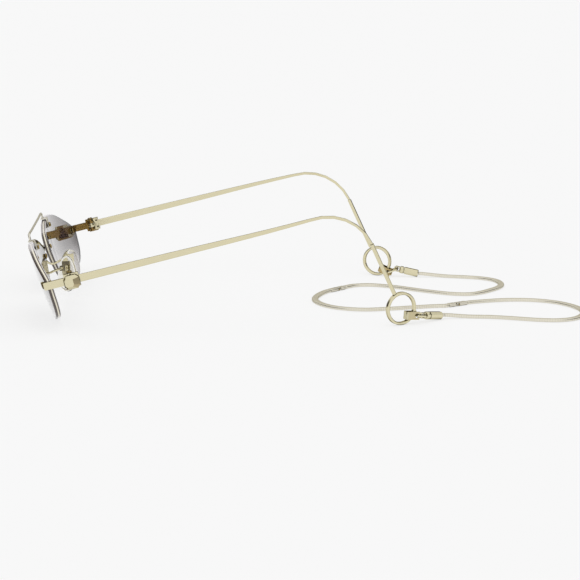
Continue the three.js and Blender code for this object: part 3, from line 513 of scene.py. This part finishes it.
def chain_tube(name, path, sizes, material):
    """A flat tube along a path, with a ridge at each scale."""
    waist, side_power, face_power = 0.96, 0.45, 0.7
    bm = bmesh.new()
    along = bm.verts.layers.float.new("along")
    across = bm.verts.layers.float.new("across")
    half_width, half_thickness = sizes.width / 2, sizes.thickness / 2
    ring = bmesh.ops.create_circle(bm, segments=16, radius=1.0)["verts"]
    for vert in ring:
        x, y = vert.co.x, vert.co.y
        vert[across] = abs(x)
        vert.co = Vector((math.copysign(abs(x) ** side_power, x) * half_width,
                          math.copysign(abs(y) ** face_power, y) * half_thickness, 0))
    frames = flat_frames(path)
    bmesh.ops.transform(bm, matrix=frames[0], verts=ring)
    edges = list(bm.edges)
    first = list(edges)
    last_place = frames[0]
    for k, place in enumerate(frames[1:], 1):
        grown = bmesh.ops.extrude_edge_only(bm, edges=edges)["geom"]
        ring = [g for g in grown if isinstance(g, bmesh.types.BMVert)]
        edges = [g for g in grown if isinstance(g, bmesh.types.BMEdge)]
        size = waist if k % 2 else 1 / waist
        resize = Matrix.Diagonal((size, size, 1, 1))
        bmesh.ops.transform(bm, matrix=place @ resize @ last_place.inverted(), verts=ring)
        for vert in ring:
            vert[along] = k / 2
        last_place = place
    bmesh.ops.holes_fill(bm, edges=first + edges, sides=0)
    bmesh.ops.recalc_face_normals(bm, faces=bm.faces)
    return finish_piece(name, bm, material)


def sphere_through(points):
    """Middle and radius of the sphere that lies nearest to the points."""
    rows = np.hstack([2 * points, np.ones((len(points), 1))])
    found = np.linalg.lstsq(rows, (points ** 2).sum(1), rcond=None)[0]
    middle = found[:3]
    return middle, math.sqrt(found[3] + middle @ middle)


class SUNGLASSES_OT_camera(bpy.types.Operator):
    """Places the camera where the photograph was taken from"""
    bl_idname = "sunglasses.camera"
    bl_label = "Place the camera"

    def execute(self, context):
        data = bpy.data.cameras.new("view")
        data.sensor_width = CAMERA_SENSOR
        data.lens = CAMERA_LENS
        data.clip_start, data.clip_end = CAMERA_CLIP
        camera = bpy.data.objects.new("view", data)
        look = CAMERA_LOOK.normalized()
        side = look.cross(CAMERA_UP).normalized()
        turn = Matrix((side, side.cross(look), -look)).transposed().to_4x4()
        camera.matrix_world = Matrix.Translation(CAMERA_PLACE) @ turn
        context.scene.collection.objects.link(camera)
        context.scene.camera = camera
        return {"FINISHED"}


class SUNGLASSES_OT_chain(bpy.types.Operator):
    """Lays the three stretches of flat chain along their ways"""
    bl_idname = "sunglasses.chain"
    bl_label = "Lay the chain"

    def execute(self, context):
        sizes = context.scene.sunglasses_chain
        material = chain_metal(sizes)
        for name in CHAIN_NODES:
            path = smooth_route(CHAIN_ROUTES[name], sizes.scale_length / 2)
            chain = chain_tube(f"flat_{name}", path, sizes, material)
            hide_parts(name)
            if name in CHAIN_BENDS:
                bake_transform(chain)
            else:
                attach(chain, "front")
        return {"FINISHED"}


class SUNGLASSES_OT_lenses(bpy.types.Operator):
    """Makes the two tinted lenses with their polished edges"""
    bl_idname = "sunglasses.lenses"
    bl_label = "Make the lenses"

    def execute(self, context):
        look = context.scene.sunglasses_lenses
        front_turn, glass_turn = -0.8, 0.9
        low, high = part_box("left_lens")
        glass, edge = lens_glass(look, low.z, high.z), lens_edge(look)
        for side in SIDES:
            bm = bmesh.new()
            bm.from_mesh(NODES[f"{side}_lens"].data)
            bmesh.ops.remove_doubles(bm, verts=bm.verts, dist=SAME_CORNER)
            bm.normal_update()
            ahead = np.array([v.co for f in bm.faces if f.normal.y < front_turn
                              for v in f.verts])
            middle, radius = sphere_through(ahead)
            centre = Vector(middle)
            reach = [(v.co - centre).length for v in bm.verts]
            thickness = radius - min(reach)
            depth = bm.verts.layers.float.new("edge_depth")
            for vert, far in zip(bm.verts, reach):
                vert[depth] = (radius - far) / thickness
            for face in bm.faces:
                out = (face.calc_center_median() - centre).normalized()
                face.material_index = 0 if abs(face.normal.dot(out)) > glass_turn else 1
            lens = finish_piece(f"{side}_tinted_lens", bm, glass, edge)
            normals = []
            for polygon in lens.data.polygons:
                for k in polygon.vertices:
                    if polygon.material_index:
                        normals.append(polygon.normal.copy())
                    else:
                        out = (lens.data.vertices[k].co - centre).normalized()
                        normals.append(out if polygon.normal.dot(out) > 0 else -out)
            lens.data.normals_split_custom_set(normals)
            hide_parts(f"{side}_lens")
            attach(lens, "front")
        return {"FINISHED"}


class SUNGLASSES_OT_nose_pads(bpy.types.Operator):
    """Makes the two clear nose pads round their metal inserts"""
    bl_idname = "sunglasses.nose_pads"
    bl_label = "Make the nose pads"

    def execute(self, context):
        look = context.scene.sunglasses_pads
        material = pad_plastic(look)
        for side in SIDES:
            corners = np.array([v.co for v in NODES[f"{side}_nose_pad"].data.vertices])
            corners = np.unique(corners.round(7), axis=0)
            low, high = corners.min(0), corners.max(0)
            axes = np.linalg.svd(corners - (low + high) / 2, full_matrices=False)[2]
            long_way, wide_way = Vector(axes[0]), Vector(axes[1])
            if long_way.z < 0:
                long_way.negate()
            thin_way = wide_way.cross(long_way)
            turn = Matrix((thin_way, wide_way, long_way)).transposed()
            local = corners @ np.array(turn)
            half = (local.max(0) - local.min(0)) / 2
            middle = turn @ Vector((local.max(0) + local.min(0)) / 2)
            bm = bmesh.new()
            bmesh.ops.create_uvsphere(bm, u_segments=36, v_segments=24, radius=1.0)
            for vert in bm.verts:
                x, y, z = vert.co
                x = math.copysign(abs(x) ** look.flatness, x)
                vert.co = Vector((x * half[0], y * half[1] * (1 - look.narrowing * z), z * half[2]))
            bmesh.ops.transform(bm, matrix=Matrix.Translation(middle) @ turn.to_4x4(),
                                verts=bm.verts)
            bmesh.ops.recalc_face_normals(bm, faces=bm.faces)
            pad = finish_piece(f"{side}_clear_pad", bm, material)
            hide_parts(f"{side}_nose_pad")
            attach(pad, f"{side}_pad_assembly")
        return {"FINISHED"}


class SUNGLASSES_OT_metalwork(bpy.types.Operator):
    """Rounds the edges of the metal pieces and gives them their plating"""
    bl_idname = "sunglasses.metalwork"
    bl_label = "Finish the metalwork"

    def execute(self, context):
        look = context.scene.sunglasses_metal
        chain = context.scene.sunglasses_chain
        plating = {
            "gold_metal": plated_metal("gold_plating", look.gold, POLISHED, look.edge_tint),
            "screw_metal": plated_metal("screw_plating", look.screws, TURNED, look.edge_tint),
            "chain_metal": plated_metal("connector_plating", shade(chain.colour, 0.86), SATIN,
                                        shade(chain.colour, 0.6),
                                        crevice_shade_reach=CONNECTOR_PAINTED_SHADE_REACH),
        }
        own_plating = {
            "top_bar": plated_metal("wire_plating", look.wires, POLISHED,
                                    shade(look.wires, 0.7)),
            "pad_insert": plated_metal("insert_plating", look.gold, TURNED, look.edge_tint,
                                       crevice_shade_reach=None),
            # Painted shade: the clips take a darker copy of the frame's gold
            "clip": plated_metal("clip_plating", shade(look.gold, 0.88), POLISHED,
                                 look.edge_tint, inner=look.clip_inside_shade),
            ("endpiece", "hinge_cover"): plated_metal("hinge_plating", look.gold, POLISHED,
                                                      look.edge_tint, inner=look.inner_shade_gold),
        }
        wires = ("bridge", "top_bar", "pad_arm", "link")
        slots = {part["node"]: part["material_slot"] for part in frame["record"]["subparts"]}
        for name, node in NODES.items():
            if slots[name] not in plating or name in CHAIN_NODES:
                continue
            finish = next((own for ending, own in own_plating.items() if name.endswith(ending)),
                          plating[slots[name]])
            for place in node.material_slots:
                place.material = finish
            weld = node.modifiers.new("weld", "WELD")
            weld.merge_threshold = SAME_CORNER
            bevel = node.modifiers.new("bevel", "BEVEL")
            bevel.limit_method = "ANGLE"
            bevel.angle_limit = math.radians(50 if name.endswith(wires) else 20)
            bevel.width = look.edge_round
            bevel.segments = 2
            bevel.use_clamp_overlap = True
            normals = node.modifiers.new("normals", "WEIGHTED_NORMAL")
            normals.keep_sharp = False
        return {"FINISHED"}


class SUNGLASSES_OT_stage(bpy.types.Operator):
    """Sets the floor, the background and the soft lights"""
    bl_idname = "sunglasses.stage"
    bl_label = "Set the stage"

    def execute(self, context):
        look = context.scene.sunglasses_stage
        context.scene.view_settings.view_transform = "Standard"
        self.make_world(context, look)
        self.make_floor(look)
        self.make_lamp(context, look)
        return {"FINISHED"}

    @staticmethod
    def seen_directly(nodes, links):
        """1 for what the camera sees, also in metal and through glass, and 0 for light."""
        rays = nodes.new("ShaderNodeLightPath")
        total = rays.outputs["Is Camera Ray"]
        for other in ("Is Glossy Ray", "Is Transmission Ray"):
            total = add_math(nodes, links, "MAXIMUM", total, rays.outputs[other])
        return total

    @staticmethod
    def dark_sides(nodes, links):
        """1 where polished metal mirrors the dark walls of the studio, low along Y."""
        ways = add_axes(nodes, links, "Generated")
        sideways = add_math(nodes, links, "ABSOLUTE", ways["Y"])
        share = nodes.new("ShaderNodeLightPath").outputs["Is Glossy Ray"]
        for value, clear, dark in ((sideways, 0.6, 0.8), (ways["Z"], 0.0, 0.1),
                                   (ways["Z"], 0.75, 0.5)):
            share = add_math(nodes, links, "MULTIPLY", share,
                             add_rise(nodes, links, value, clear, dark))
        return share

    def make_world(self, context, look):
        world = bpy.data.worlds.new("studio")
        context.scene.world = world
        world.use_nodes = True
        nodes, links = world.node_tree.nodes, world.node_tree.links
        light = nodes["Background"]
        light.inputs["Color"].default_value = (1, 1, 1, 1)
        light.inputs["Strength"].default_value = look.sky_light
        seen = nodes.new("ShaderNodeBackground")
        dark_wall = shade(look.background, 0.1)
        links.new(add_blend(nodes, links, self.dark_sides(nodes, links), look.background,
                            dark_wall), seen.inputs["Color"])
        mix_shaders(nodes, links, self.seen_directly(nodes, links), light, seen,
                    nodes["World Output"])

    def make_floor(self, look):
        material, nodes, links, shader = new_material("floor_paint")
        grain = add_noise(nodes, links, 40.0)
        links.new(add_blend(nodes, links, grain, shade(look.background, 0.985), look.background),
                  shader.inputs["Base Color"])
        shader.inputs["Roughness"].default_value = 0.9
        shader.inputs["Specular IOR Level"].default_value = 0.1
        plain = nodes.new("ShaderNodeEmission")
        plain.inputs["Color"].default_value = look.background
        share = add_math(nodes, links, "MULTIPLY", self.seen_directly(nodes, links),
                         1 - look.shadow_share)
        mix_shaders(nodes, links, share, shader, plain, nodes["Material Output"])
        bm = bmesh.new()
        bmesh.ops.create_grid(bm, x_segments=1, y_segments=1, size=look.floor_size)
        bmesh.ops.translate(bm, vec=(0, 0, -FLOOR_DROP), verts=bm.verts)
        floor = finish_piece("floor", bm, material)

    @staticmethod
    def make_lamp(context, look):
        data = bpy.data.lights.new("lamp", "SUN")
        data.energy = look.lamp_light
        data.angle = LAMP_SPREAD
        lamp = bpy.data.objects.new("lamp", data)
        # The metal mirrors the pale studio already, and would turn white with the lamp as well
        lamp.visible_glossy = False
        turn = LAMP_PLACE.to_track_quat("Z", "Y").to_matrix().to_4x4()
        lamp.matrix_world = Matrix.Translation(LAMP_PLACE) @ turn
        context.scene.collection.objects.link(lamp)


class SUNGLASSES_PT_panel(bpy.types.Panel):
    """The steps that dress the sunglasses, in their order"""
    bl_label = "Sunglasses"
    bl_idname = "SUNGLASSES_PT_panel"
    bl_space_type = "VIEW_3D"
    bl_region_type = "UI"
    bl_category = "Sunglasses"

    def draw(self, context):
        for step in STEPS:
            self.layout.operator(step.bl_idname)
        for group in GROUPS:
            settings = getattr(context.scene, group)
            for name in settings.bl_rna.properties.keys():
                if name not in ("rna_type", "name"):
                    self.layout.prop(settings, name)


STEPS = (
    SUNGLASSES_OT_camera,
    SUNGLASSES_OT_chain,
    SUNGLASSES_OT_lenses,
    SUNGLASSES_OT_nose_pads,
    SUNGLASSES_OT_metalwork,
    SUNGLASSES_OT_stage,
)
GROUPS = {
    "sunglasses_chain": ChainSizes,
    "sunglasses_lenses": LensLook,
    "sunglasses_metal": MetalLook,
    "sunglasses_pads": PadSizes,
    "sunglasses_stage": StageLook,
}


def register():
    for part in (*GROUPS.values(), *STEPS, SUNGLASSES_PT_panel):
        bpy.utils.register_class(part)
    for name, group in GROUPS.items():
        setattr(bpy.types.Scene, name, bpy.props.PointerProperty(type=group))


def unregister():
    for name in GROUPS:
        delattr(bpy.types.Scene, name)
    for part in reversed((*GROUPS.values(), *STEPS, SUNGLASSES_PT_panel)):
        bpy.utils.unregister_class(part)


def main():
    register()
    bpy.ops.sunglasses.camera()
    bpy.ops.sunglasses.chain()
    bpy.ops.sunglasses.lenses()
    bpy.ops.sunglasses.nose_pads()
    bpy.ops.sunglasses.metalwork()
    bpy.ops.sunglasses.stage()


if __name__ == "__main__":
    main()
